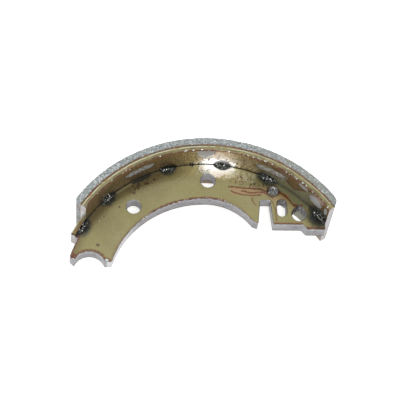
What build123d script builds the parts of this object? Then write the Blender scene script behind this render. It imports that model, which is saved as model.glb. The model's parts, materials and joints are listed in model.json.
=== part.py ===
"""Bonded drum brake shoe of T section.

A thick flat web, punched from plate, is welded on edge inside a curved steel table. The friction
lining is bonded to the outside of the table and keyed into it through four oblong windows.

Every shape is drawn about the drum's axis at the middle of the shoe's width: +Z runs along that axis,
+Y through the middle of the arc, and the anchor end points to -X. Angles are measured from +Y and are
positive towards +X. The finished pieces are then moved, unturned, to bring the anchor pin's axis to the
origin. Lengths are in millimetres, angles in degrees.
"""
import os
from math import cos, degrees, radians, sin, sqrt

from build123d import *

# The arc that every layer follows
drum_radius = 100
shoe_width = 50
shoe_end_angle = 56.2

# Layers, from the drum inwards
lining_thickness = 4.8
bond_thickness = 0.2
table_thickness = 4

# Lining
anchor_end_bevel = 1.2
anchor_end_round = 3
actuator_end_bevel = 2.6
actuator_end_round = 6
bond_edge_inset = 0.3

# Windows in the table, and the keys of lining that fill them
window_length = 20.4
window_width = 7
window_height_on_table = 15.7
window_angles = (-27.6, 26.6)
key_gap = 0.1
key_recess = 0.35

# Table, with a tongue that runs on past its anchor end
table_edge_round = 1
table_edge_break = 0.5
tongue_width = 16
tongue_thickness = 3
tongue_reach_angle = 8.2
tongue_corner_round = 2

# Web plate
web_thickness = 9.5
web_depth = 24.3
web_edge_break = 0.4
web_corner_round = 0.8

# Anchor end of the web: the pin's reach angle is from the tongue's end, insets are from the table's inner
# face, and the end's height is from the pin's axis
anchor_pin_radius = 10
anchor_pin_reach_angle = 10.5
anchor_pin_inset = 15.2
anchor_end_height = 3.3
anchor_toe_width = 4.5
anchor_back_inset = 1.5
anchor_back_lead_angle = 1.9

# Actuator end of the web: setbacks, drops and rises are from the inner corner where the table ends
actuator_toe_drop = 0.8
actuator_toe_rise = 1.5
actuator_toe_width = 3.6
open_slot_setback = 37.8
open_slot_rise = 15.4
open_slot_top_width = 6.2
open_slot_mouth_width = 9.4
actuator_edge_drop = 1.4
step_start_setback = 14.6
step_end_setback = 11.8
step_edge_drop = 4.7

# Holes in the web: the middle one is placed from the middle of the web's depth, and the spacings are from
# the open slot to the lever slot, and on to the adjuster hole
spring_hole_diameter = 9.2
centre_hole_x = 1.7
centre_hole_offset = 0.5
anchor_side_hole_angle = -36.9
anchor_side_hole_inset = 15.1
pin_hole_diameter = 6.6
pin_hole_setback = 32.6
pin_hole_rise = 21.9
lever_slot_length = 11.8
lever_slot_width = 6
lever_slot_spacing = 10.5
lever_slot_rise = 10.3
adjuster_hole_diameter = 9.4
adjuster_hole_spacing = 10.9
adjuster_hole_rise = 6.1
adjuster_tip_round = 0.6
adjuster_tip_reach = 5.5

# Welds in the corners between the web and the table
anchor_end_weld_reach_angle = 3
actuator_end_weld_inset_angle = 3.9
middle_weld_angles = (-43, -15.2, 7, 26)
weld_radius = 3.2
weld_length = 12
weld_end_slope = 50

# Sizes that follow from those above
bond_outer_radius = drum_radius - lining_thickness
table_outer_radius = bond_outer_radius - bond_thickness
table_inner_radius = table_outer_radius - table_thickness
tongue_end_angle = shoe_end_angle + tongue_reach_angle
anchor_pin_angle = -tongue_end_angle - anchor_pin_reach_angle
lever_slot_setback = open_slot_setback - lever_slot_spacing
adjuster_hole_setback = lever_slot_setback - adjuster_hole_spacing
web_apex_height = table_inner_radius - web_depth
web_top = web_thickness / 2
half_width = shoe_width / 2


def at_angle(radius, angle, height=0):
    """Point at a radius from the drum's axis, at an angle from +Y."""
    return (radius * sin(radians(angle)), radius * cos(radians(angle)), height)


def band(inner_radius, outer_radius, left_angle, right_angle):
    """Ring sector between two radii and two angles."""
    span = right_angle - left_angle
    with BuildSketch() as sector:
        with BuildLine():
            outer = CenterArc((0, 0), outer_radius, 90 - right_angle, span)
            inner = CenterArc((0, 0), inner_radius, 90 - right_angle, span)
            Line(outer @ 0, inner @ 0)
            Line(outer @ 1, inner @ 1)
        make_face()
    return sector.sketch


def from_end_corner(setback, rise):
    """Point at a setback from the inner corner where the table ends at the actuator end, and a rise above it."""
    corner_x, corner_y, _ = at_angle(table_inner_radius, shoe_end_angle)
    return (corner_x - setback, corner_y + rise)


def window_planes():
    """Planes that face outwards at the centre of each window, two windows on each side of the web."""
    return [
        Plane(
            origin=at_angle(table_outer_radius, angle, height),
            x_dir=at_angle(1, angle + 90),
            z_dir=at_angle(1, angle),
        )
        for height in (window_height_on_table, -window_height_on_table)
        for angle in window_angles
    ]


# Table: a rolled strip, with a narrow tongue that runs on along the web at the anchor end
with BuildPart() as table:
    add(band(table_inner_radius, table_outer_radius, -shoe_end_angle, shoe_end_angle))
    extrude(amount=half_width, both=True)
    inner_edges, outer_edges = table.edges().filter_by(GeomType.CIRCLE).group_by(SortBy.RADIUS)
    fillet(inner_edges, table_edge_round)
    chamfer(outer_edges, table_edge_break)
    add(band(table_inner_radius, table_inner_radius + tongue_thickness, -tongue_end_angle, -shoe_end_angle))
    extrude(amount=tongue_width / 2, both=True)
    tongue_corners = table.edges().filter_by(Axis.Z, reverse=True).sort_by(Axis.X)[:2]
    fillet(tongue_corners, tongue_corner_round)
    with BuildSketch(*window_planes()):
        SlotOverall(window_length, window_width)
    extrude(amount=2 * table_thickness, both=True, mode=Mode.SUBTRACT)
table.part.label = "table"

# Bond film: the adhesive between the table and the lining, open over the windows
with BuildPart() as bond_film:
    add(band(table_outer_radius, bond_outer_radius, -shoe_end_angle, shoe_end_angle))
    extrude(amount=half_width - bond_edge_inset, both=True)
    with BuildSketch(*window_planes()):
        SlotOverall(window_length, window_width)
    extrude(amount=2 * table_thickness, both=True, mode=Mode.SUBTRACT)
bond_film.part.label = "bond_film"

# Lining: the friction segment, moulded with a key into each window and bevelled at both ends
anchor_setback = degrees(anchor_end_bevel / drum_radius)
actuator_setback = degrees(actuator_end_bevel / drum_radius)

with BuildPart() as lining:
    with BuildSketch(*window_planes()):
        SlotOverall(window_length - 2 * key_gap, window_width - 2 * key_gap)
    extrude(amount=2 * table_thickness, both=True)
    add(band(table_inner_radius + key_recess, drum_radius, -shoe_end_angle, shoe_end_angle))
    extrude(amount=half_width, both=True, mode=Mode.INTERSECT)
    with BuildSketch():
        with BuildLine():
            friction_face = CenterArc(
                (0, 0),
                drum_radius,
                90 - shoe_end_angle + actuator_setback,
                2 * shoe_end_angle - anchor_setback - actuator_setback,
            )
            bonded_face = CenterArc((0, 0), bond_outer_radius, 90 - shoe_end_angle, 2 * shoe_end_angle)
            Line(friction_face @ 0, bonded_face @ 0)
            Line(friction_face @ 1, bonded_face @ 1)
        make_face()
    extrude(amount=half_width, both=True)
    bevel_corners = lining.edges().filter_by(Axis.Z).group_by(SortBy.DISTANCE)[-1].sort_by(Axis.X)
    fillet(bevel_corners[0], anchor_end_round)
    fillet(bevel_corners[-1], actuator_end_round)
lining.part.label = "lining"

# Web: the flat plate, with the anchor seat at one end and the actuator slots at the other
with BuildSketch() as adjuster_hole:
    with Locations(from_end_corner(adjuster_hole_setback, adjuster_hole_rise)):
        Circle(adjuster_hole_diameter / 2)
    with Locations(from_end_corner(adjuster_hole_setback, adjuster_hole_rise + adjuster_tip_reach)):
        Circle(adjuster_tip_round)
    make_hull()

anchor_pin_x, anchor_pin_y, _ = at_angle(table_inner_radius - anchor_pin_inset, anchor_pin_angle)
anchor_end_y = anchor_pin_y + anchor_end_height
anchor_lip = sqrt(anchor_pin_radius**2 - anchor_end_height**2)
anchor_back_angle = -anchor_pin_angle - anchor_back_lead_angle
centre_hole_y = (table_inner_radius + web_apex_height) / 2 + centre_hole_offset
slot_mouth = open_slot_mouth_width / 2
slot_top = open_slot_top_width / 2

with BuildPart() as web:
    with BuildSketch() as outline:
        with BuildLine():
            anchor_toe = (anchor_pin_x + anchor_lip + anchor_toe_width, anchor_end_y)
            anchor_side = TangentArc((0, web_apex_height), anchor_toe, tangent=(-1, 0))
            seat = ThreePointArc(
                (anchor_pin_x + anchor_lip, anchor_end_y),
                (anchor_pin_x, anchor_pin_y + anchor_pin_radius),
                (anchor_pin_x - anchor_lip, anchor_end_y),
            )
            Line(anchor_side @ 1, seat @ 0)
            back = CenterArc(
                (0, 0),
                table_inner_radius - anchor_back_inset,
                90 + anchor_back_angle,
                tongue_end_angle - anchor_back_angle,
            )
            Line(seat @ 1, back @ 0)
            rim = CenterArc(
                (0, 0), table_inner_radius, 90 + tongue_end_angle, -tongue_end_angle - shoe_end_angle
            )
            Line(back @ 1, rim @ 0)
            actuator_toe = from_end_corner(
                open_slot_setback + slot_mouth + actuator_toe_width, actuator_toe_rise - actuator_toe_drop
            )
            actuator_side = TangentArc((0, web_apex_height), actuator_toe, tangent=(1, 0))
            Polyline(
                rim @ 1,
                from_end_corner(0, -step_edge_drop),
                from_end_corner(step_end_setback, -step_edge_drop),
                from_end_corner(step_start_setback, -actuator_edge_drop),
                from_end_corner(open_slot_setback - slot_mouth, -actuator_edge_drop),
                from_end_corner(open_slot_setback - slot_top, open_slot_rise),
                from_end_corner(open_slot_setback + slot_top, open_slot_rise),
                from_end_corner(open_slot_setback + slot_mouth, -actuator_toe_drop),
                actuator_side @ 1,
            )
        make_face()
        kept_sharp = (rim @ 0, rim @ 1, back @ 1, anchor_side @ 0)
        rounded = outline.vertices().filter_by(
            lambda corner: min((Vector(*corner) - point).length for point in kept_sharp) > 0.01
        )
        fillet(rounded, web_corner_round)
        with Locations(
            (centre_hole_x, centre_hole_y),
            at_angle(table_inner_radius - anchor_side_hole_inset, anchor_side_hole_angle),
        ):
            Circle(spring_hole_diameter / 2, mode=Mode.SUBTRACT)
        with Locations(from_end_corner(pin_hole_setback, pin_hole_rise)):
            Circle(pin_hole_diameter / 2, mode=Mode.SUBTRACT)
        with Locations(from_end_corner(lever_slot_setback, lever_slot_rise)):
            SlotOverall(lever_slot_length, lever_slot_width, rotation=90, mode=Mode.SUBTRACT)
        add(adjuster_hole.sketch, mode=Mode.SUBTRACT)
    extrude(amount=web_top, both=True)
    plate_sides = web.faces().filter_by(Axis.Z)
    chamfer(plate_sides.edges(), web_edge_break)
web.part.label = "web"

# Welds: a short bead in the corner at each weld angle, on both sides of the web, sloped at both ends
anchor_end_weld_angle = -shoe_end_angle - anchor_end_weld_reach_angle
actuator_end_weld_angle = shoe_end_angle - actuator_end_weld_inset_angle
weld_angles = (anchor_end_weld_angle, *middle_weld_angles, actuator_end_weld_angle)

with BuildPart() as welds:
    for height in (web_top, -web_top):
        for angle in weld_angles:
            corner = Plane(
                origin=at_angle(table_inner_radius, angle, height),
                x_dir=at_angle(1, angle + 90),
                z_dir=(0, 0, 1),
            )
            with BuildSketch(corner):
                Trapezoid(weld_length, weld_radius, weld_end_slope, align=(Align.CENTER, Align.MIN))
            revolve(axis=Axis(corner.origin, corner.x_dir))
    add(web.part, mode=Mode.SUBTRACT)
    add(band(table_inner_radius - 2 * weld_radius, table_inner_radius, -tongue_end_angle, shoe_end_angle))
    extrude(amount=half_width, both=True, mode=Mode.INTERSECT)
welds.part.label = "welds"

drum_to_anchor_pin = Location((-anchor_pin_x, -anchor_pin_y, 0))
os.makedirs("parts", exist_ok=True)
for piece in (table, bond_film, lining, web, welds):
    piece.part.move(drum_to_anchor_pin)
    export_step(piece.part, f"parts/{piece.part.label}.step")
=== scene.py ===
"""Looks of a bonded drum brake shoe: olive lacquer over plate, moulded friction lining, burnt weld beads.

Places are in millimetres from the drum's axis, +Y through the middle of the arc, or in degrees round that
axis from +Y, positive towards the actuator end. Meshes are worked out in the same millimetres, and moved
to the CAD frame in metres as they are written.
"""
import json
from itertools import product
from math import radians

import bpy
import numpy as np
from mathutils import Matrix, Vector


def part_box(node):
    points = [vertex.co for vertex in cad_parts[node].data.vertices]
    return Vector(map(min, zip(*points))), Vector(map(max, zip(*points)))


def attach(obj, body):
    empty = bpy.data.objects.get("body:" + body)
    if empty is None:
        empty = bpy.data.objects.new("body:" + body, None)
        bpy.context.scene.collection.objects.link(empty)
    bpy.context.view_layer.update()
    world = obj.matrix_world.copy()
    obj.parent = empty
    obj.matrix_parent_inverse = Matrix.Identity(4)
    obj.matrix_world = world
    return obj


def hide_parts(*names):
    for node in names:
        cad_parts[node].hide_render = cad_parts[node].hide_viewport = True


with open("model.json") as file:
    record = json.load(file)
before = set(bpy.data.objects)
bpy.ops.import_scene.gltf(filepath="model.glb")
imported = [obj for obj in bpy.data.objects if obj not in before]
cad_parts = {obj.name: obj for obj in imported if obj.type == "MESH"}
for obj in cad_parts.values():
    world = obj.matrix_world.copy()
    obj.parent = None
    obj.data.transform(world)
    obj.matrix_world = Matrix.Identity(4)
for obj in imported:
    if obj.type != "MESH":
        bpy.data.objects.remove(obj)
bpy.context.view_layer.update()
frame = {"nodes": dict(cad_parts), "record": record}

MM = 0.001

# ---------------------------------------------------------------- sizes
mount_at = {mount["name"]: Vector(mount["pos_m"]) for mount in frame["record"]["mounts"]}
drum_radius = 100
drum_axis = mount_at["friction_face"] - Vector((0, drum_radius * MM, 0))
anchor_pin = (mount_at["anchor_seat"] - drum_axis) / MM
anchor_pin_radius = 10
table_low, table_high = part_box("table")
web_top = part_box("web")[1].z / MM
half_width = table_high.z / MM
floor_height = table_low.z

# Layers, from the drum inwards, and the windows in the table
lining_back_radius = 95.2
table_back_radius = 95
table_face_radius = 91
shoe_end = 56.2
anchor_end_bevel = 1.2
actuator_end_bevel = 3.0
window_angles = (-27.6, 26.6)
window_height = 15.7
key_length = 20.2
key_width = 6.8
key_face_radius = 91.35

# Inner arcs of the web: both start at the apex, one bends towards each end
apex_height = 66.7
anchor_arc_radius = 62.03
actuator_arc_radius = 36.02
actuator_edge_height = 49.22
step_edge_height = 45.92
step_start, step_end = 61.0, 63.8

# Welds: angle, how far the burn runs along the corner, and how far out from it
weld_spots = (
    (-59.2, 7.5, 6.5), (-43, 7.0, 5.5), (-15.2, 5.6, 5.4),
    (7, 5.0, 4.2), (26, 8.2, 5.8), (52.3, 9.2, 8.8),
)

# ---------------------------------------------------------------- colours, as they look under plain light
olive = (148, 140, 90)
olive_light = (162, 156, 112)
olive_brown = (112, 98, 62)
olive_green = (122, 126, 98)
table_brown = (112, 88, 56)
table_dark = (70, 56, 36)
table_grey = (128, 127, 102)
band_olive = (144, 137, 94)
band_light = (214, 216, 196)
orange_brown = (138, 92, 50)
cut_grey = (127, 125, 129)
cut_light = (170, 170, 172)
cut_dark = (62, 58, 60)
bare_grey = (156, 155, 157)
# Near-white of the painted glare and of painted highlights
painted_highlight_white = (216, 216, 218)
rust_red = (128, 66, 36)
rust_dark = (84, 50, 34)
tide_pink = (172, 134, 98)
tide_red = (114, 68, 38)
burn_black = (30, 33, 30)
burn_green = (58, 62, 52)
grit_grey = (155, 162, 161)
# White of the lining's grit, also painted as glints on edges, toes and welds
grit_and_glint_white = (208, 213, 213)
grit_dark = (106, 113, 112)
grit_tan = (150, 144, 132)
glue_brown = (112, 72, 38)


def paint(colour):
    """Linear colour of a plain 0 to 255 colour, by the sRGB curve."""
    share = np.array(colour) / 255
    linear = np.where(share <= 0.04045, share / 12.92, ((share + 0.055) / 1.055) ** 2.4)
    return (*linear.tolist(), 1.0)


# ---------------------------------------------------------------- camera and lights
camera_target = Vector((-3.298, 67.987, 0)) * MM + drum_axis
camera_distance = 1.144423
camera_elevation = 65.3776
camera_azimuth = -8.6195
camera_roll = 8.4339
camera_lens = 162


def place_camera():
    """Camera that looks down at the web from the open side of the arc, turned by its roll."""
    turn = Matrix.Rotation(radians(camera_azimuth), 4, "Z")
    turn = turn @ Matrix.Rotation(radians(90 - camera_elevation), 4, "X")
    turn = turn @ Matrix.Rotation(radians(camera_roll), 4, "Z")
    data = bpy.data.cameras.new("camera")
    data.lens = camera_lens
    data.clip_start = 0.01
    camera = bpy.data.objects.new("camera", data)
    back = turn @ Vector((0, 0, 1))
    place = camera_target + camera_distance * back
    camera.matrix_world = Matrix.Translation(place) @ turn
    bpy.context.scene.collection.objects.link(camera)
    bpy.context.scene.camera = camera
    return place


def area_light(name, place, aim, size, power):
    """Square soft light at a place, facing a point."""
    data = bpy.data.lights.new(name, "AREA")
    data.size = size
    data.energy = power
    light = bpy.data.objects.new(name, data)
    facing = (aim - place).to_track_quat("-Z", "Y").to_matrix().to_4x4()
    light.matrix_world = Matrix.Translation(place) @ facing
    bpy.context.scene.collection.objects.link(light)


# ---------------------------------------------------------------- wiring of shader nodes
class Wiring:
    """Adds nodes to one node tree. A value for a socket is a number, a colour or another node's output."""

    def __init__(self, tree):
        self.tree = tree

    def give(self, socket, value):
        if isinstance(value, bpy.types.NodeSocket):
            self.tree.links.new(value, socket)
        elif value is not None:
            socket.default_value = value

    def node(self, kind, inputs=(), **settings):
        made = self.tree.nodes.new("ShaderNode" + kind)
        for name, value in settings.items():
            setattr(made, name, value)
        for key, value in dict(inputs).items():
            self.give(made.inputs[key], value)
        return made

    def math(self, operation, a, b=None, c=None, clamp=False):
        made = self.node("Math", {0: a, 1: b, 2: c}, operation=operation, use_clamp=clamp)
        return made.outputs[0]

    def vector(self, operation, a, b=None):
        made = self.node("VectorMath", {0: a, 1: b}, operation=operation)
        return made.outputs["Value" if operation in ("DOT_PRODUCT", "LENGTH", "DISTANCE") else "Vector"]

    def stretch(self, place, scale):
        return self.node("Mapping", {"Vector": place, "Scale": scale}).outputs[0]

    def ramp(self, value, start, end, low=0.0, high=1.0):
        """Smooth step from low to high as the value goes from start to end."""
        made = self.node(
            "MapRange",
            {"Value": value, "From Min": start, "From Max": end, "To Min": low, "To Max": high},
            interpolation_type="SMOOTHSTEP",
        )
        return made.outputs["Result"]

    def within(self, value, low, high, soft):
        """One between two levels, and a smooth step down to nothing outside them."""
        return self.both(self.ramp(value, low - soft, low), self.ramp(value, high + soft, high))

    def most(self, *values):
        """Largest of several masks."""
        top = values[0]
        for value in values[1:]:
            top = self.math("MAXIMUM", top, value)
        return top

    def both(self, *values):
        """Product of several masks."""
        joint = values[0]
        for value in values[1:]:
            joint = self.math("MULTIPLY", joint, value)
        return joint

    def neither(self, value):
        return self.math("SUBTRACT", 1.0, value)

    def tint(self, colour, mask, other, strength=1.0):
        """Colour with another painted over it where a mask is."""
        share = mask if strength == 1.0 else self.math("MULTIPLY", mask, strength)
        made = self.node("Mix", data_type="RGBA")
        for index, value in ((0, share), (6, colour), (7, other)):
            self.give(made.inputs[index], paint(value) if isinstance(value, tuple) else value)
        return made.outputs[2]

    def noise(self, place, size, detail=2.0, roughness=0.5):
        """Noise whose patches are about a size in millimetres."""
        inputs = {"Vector": place, "Scale": 1 / size, "Detail": detail, "Roughness": roughness}
        return self.node("TexNoise", inputs).outputs["Fac"]

    def waver(self, place, size, detail, swing):
        """Noise that swings evenly to both sides of nothing."""
        return self.math("MULTIPLY_ADD", self.noise(place, size, detail), swing, -swing / 2)

    def use(self, group, **inputs):
        """One use of a shared effect. Its inputs are named with underscores for spaces."""
        made = self.tree.nodes.new("ShaderNodeGroup")
        made.node_tree = group
        for name, value in inputs.items():
            self.give(made.inputs[name.replace("_", " ")], value)
        return made.outputs


def effect(name, inputs, *outputs):
    """Empty node group with named inputs and outputs, its wiring and its sockets.

    Inputs are given with their defaults. A socket called Place is a vector, and all others are numbers.
    """
    group = bpy.data.node_groups.new(name, "ShaderNodeTree")
    for label in (*inputs, *outputs):
        kind = "NodeSocketVector" if label == "Place" else "NodeSocketFloat"
        way = "INPUT" if label in inputs else "OUTPUT"
        socket = group.interface.new_socket(label, in_out=way, socket_type=kind)
        if label in inputs:
            socket.default_value = inputs[label]
    source = group.nodes.new("NodeGroupInput")
    sink = group.nodes.new("NodeGroupOutput")
    return group, Wiring(group), source.outputs, sink.inputs


# ---------------------------------------------------------------- shared effects
def make_shoe_place():
    """Where a point is on the shoe, and how it faces.

    Place and its parts are in millimetres from the drum's axis. Drop is the way in from the table's face,
    Rise the way up or down from the web's face, and Inset the way out from the web's inner arcs.
    """
    outputs = (
        "Place", "X", "Y", "Height", "Radius", "Angle", "Drop", "Rise", "Inset", "From pin",
        "Facing up", "Facing in",
    )
    group, wire, _, out = effect("shoe place", {}, *outputs)
    coordinates = wire.node("TexCoord")
    shifted = wire.vector("SUBTRACT", coordinates.outputs["Object"], tuple(drum_axis))
    place = wire.node("VectorMath", {0: shifted, "Scale": 1 / MM}, operation="SCALE").outputs["Vector"]
    x, y, height = wire.node("SeparateXYZ", {0: place}).outputs
    flat = wire.node("CombineXYZ", {"X": x, "Y": y}).outputs[0]
    radius = wire.vector("LENGTH", flat)
    angle = wire.math("MULTIPLY", wire.math("ARCTAN2", x, y), 180 / np.pi)
    drop = wire.math("SUBTRACT", table_face_radius, radius)
    rise = wire.math("SUBTRACT", wire.math("ABSOLUTE", height), web_top)
    towards_anchor = wire.math("LESS_THAN", x, 0.0)
    arc_gain = anchor_arc_radius - actuator_arc_radius
    arc_radius = wire.math("MULTIPLY_ADD", towards_anchor, arc_gain, actuator_arc_radius)
    arc_centre = wire.node("CombineXYZ", {"Y": wire.math("SUBTRACT", apex_height, arc_radius)}).outputs[0]
    inset = wire.math("SUBTRACT", wire.vector("DISTANCE", flat, arc_centre), arc_radius)
    from_pin = wire.math("SUBTRACT", wire.vector("DISTANCE", flat, tuple(anchor_pin)), anchor_pin_radius)
    normal = coordinates.outputs["Normal"]
    facing_out = wire.vector("DOT_PRODUCT", normal, wire.vector("NORMALIZE", flat))
    facing_in = wire.math("MULTIPLY", facing_out, -1.0)
    facing_up = wire.math("ABSOLUTE", wire.node("SeparateXYZ", {0: normal}).outputs["Z"])
    values = (place, x, y, height, radius, angle, drop, rise, inset, from_pin, facing_up, facing_in)
    for label, value in zip(outputs, values):
        wire.give(out[label], value)
    return group


def make_blotches():
    """Soft patches: noise of a patch size cut off at a level."""
    inputs = {"Place": (0, 0, 0), "Size": 5.0, "Level": 0.5, "Softness": 0.08, "Detail": 3.0}
    group, wire, given, out = effect("blotches", inputs, "Mask")
    frequency = wire.math("DIVIDE", 1.0, given["Size"])
    settings = {"Vector": given["Place"], "Scale": frequency, "Detail": given["Detail"]}
    noise = wire.node("TexNoise", settings).outputs["Fac"]
    start = wire.math("SUBTRACT", given["Level"], given["Softness"])
    end = wire.math("ADD", given["Level"], given["Softness"])
    wire.give(out["Mask"], wire.ramp(noise, start, end))
    return group


def make_specks():
    """Small round specks: one point to a cell, kept where the cell's own draw is under a share."""
    inputs = {"Place": (0, 0, 0), "Spacing": 2.0, "Share": 0.5, "Size": 0.3}
    group, wire, given, out = effect("specks", inputs, "Mask")
    frequency = wire.math("DIVIDE", 1.0, given["Spacing"])
    cells = wire.node("TexVoronoi", {"Vector": given["Place"], "Scale": frequency})
    draw = wire.node("SeparateColor", {0: cells.outputs["Color"]}).outputs[0]
    kept = wire.math("LESS_THAN", draw, given["Share"])
    reach = wire.math("MULTIPLY", given["Size"], frequency)
    spot = wire.ramp(cells.outputs["Distance"], reach, wire.math("MULTIPLY", reach, 0.6))
    wire.give(out["Mask"], wire.both(spot, kept))
    return group


def make_weld_burn():
    """Burnt oval round a weld: distance in a stretched circle from the weld's place in the corner."""
    inputs = {
        "Place": (0, 0, 0), "Angle": 0.0, "Out": 0.0,
        "Weld angle": 0.0, "Reach along": 7.0, "Reach out": 6.0,
    }
    group, wire, given, out = effect("weld burn", inputs, "Mask", "Core")
    turn = wire.math("SUBTRACT", given["Angle"], given["Weld angle"])
    along = wire.math("MULTIPLY", turn, table_face_radius * np.pi / 180)
    along = wire.math("DIVIDE", along, given["Reach along"])
    outward = wire.math("DIVIDE", given["Out"], given["Reach out"])
    spread = wire.vector("LENGTH", wire.node("CombineXYZ", {"X": along, "Y": outward}).outputs[0])
    ragged = wire.waver(given["Place"], 3.2, 2.0, 0.5)
    ragged = wire.math("ADD", spread, ragged)
    wire.give(out["Mask"], wire.ramp(ragged, 1.1, 0.72))
    wire.give(out["Core"], wire.ramp(ragged, 0.85, 0.4))
    return group


def make_stain_line():
    """Wavering line of stain: how far a value lies from a target, against a width, inside a stretch."""
    inputs = {"Place": (0, 0, 0), "Offset": 0.0, "Along": 0.0, "Start": 0.0, "End": 1.0, "Width": 0.5}
    group, wire, given, out = effect("stain line", inputs, "Mask")
    waver = wire.waver(given["Place"], 3.0, 3.0, 1.4)
    distance = wire.math("ABSOLUTE", wire.math("ADD", given["Offset"], waver))
    frayed = wire.math("MULTIPLY", given["Width"], wire.noise(given["Place"], 1.3, 2.0))
    line = wire.ramp(wire.math("SUBTRACT", distance, frayed), 0.55, -0.1)
    fade = 0.8
    begun = wire.ramp(wire.math("SUBTRACT", given["Along"], given["Start"]), 0.0, fade)
    going = wire.ramp(wire.math("SUBTRACT", given["End"], given["Along"]), 0.0, fade)
    wire.give(out["Mask"], wire.both(line, begun, going))
    return group


def make_sprayed_film():
    """Height of a sprayed film: broad swells with a finer ripple on them."""
    inputs = {"Place": (0, 0, 0), "Size": 1.5, "Fine": 0.35}
    group, wire, given, out = effect("sprayed film", inputs, "Height")
    frequency = wire.math("DIVIDE", 1.0, given["Size"])
    swell = wire.node("TexNoise", {"Vector": given["Place"], "Scale": frequency, "Detail": 1.0})
    finer = wire.math("MULTIPLY", frequency, 4.0)
    ripple = wire.node("TexNoise", {"Vector": given["Place"], "Scale": finer, "Detail": 2.0})
    height = wire.math("MULTIPLY_ADD", ripple.outputs["Fac"], given["Fine"], swell.outputs["Fac"])
    wire.give(out["Height"], height)
    return group


def make_ragged_oval():
    """Oval with a wavering rim: distance from a centre, in shares of a reach each way."""
    inputs = {
        "Place": (0, 0, 0), "Across": 0.0, "Over": 0.0,
        "Centre across": 0.0, "Centre over": 0.0,
        "Reach across": 1.0, "Reach over": 1.0, "Ragged": 0.3,
    }
    group, wire, given, out = effect("ragged oval", inputs, "Mask")
    across = wire.math("SUBTRACT", given["Across"], given["Centre across"])
    across = wire.math("DIVIDE", across, given["Reach across"])
    over = wire.math("SUBTRACT", given["Over"], given["Centre over"])
    over = wire.math("DIVIDE", over, given["Reach over"])
    spread = wire.vector("LENGTH", wire.node("CombineXYZ", {"X": across, "Y": over}).outputs[0])
    waver = wire.math("SUBTRACT", wire.noise(given["Place"], 2.4, 2.0), 0.5)
    spread = wire.math("MULTIPLY_ADD", waver, given["Ragged"], spread)
    wire.give(out["Mask"], wire.ramp(spread, 1.08, 0.9))
    return group


def make_painted_glare():
    """Painted glare in the corner: an oval torn into streaks by stretched noise."""
    inputs = {"Place": (0, 0, 0), "Angle": 0.0, "Out": 0.0, "Reach": 9.0}
    group, wire, given, out = effect("thin lacquer", inputs, "Mask")
    middle_angle, reach_angle, middle_out = 5.0, 11.0, 2.5
    along = wire.math("DIVIDE", wire.math("SUBTRACT", given["Angle"], middle_angle), reach_angle)
    away = wire.math("DIVIDE", wire.math("SUBTRACT", given["Out"], middle_out), given["Reach"])
    spread = wire.vector("LENGTH", wire.node("CombineXYZ", {"X": along, "Y": away}).outputs[0])
    ragged = wire.noise(wire.stretch(given["Place"], (1.0, 0.4, 0.4)), 1.2, 4.0, 0.8)
    wire.give(out["Mask"], wire.ramp(wire.math("MULTIPLY_ADD", spread, -0.45, ragged), 0.17, 0.25))
    return group


shoe_place = make_shoe_place()
blotches = make_blotches()
specks = make_specks()
weld_burn = make_weld_burn()
stain_line = make_stain_line()
sprayed_film = make_sprayed_film()
ragged_oval = make_ragged_oval()
painted_glare = make_painted_glare()


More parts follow.
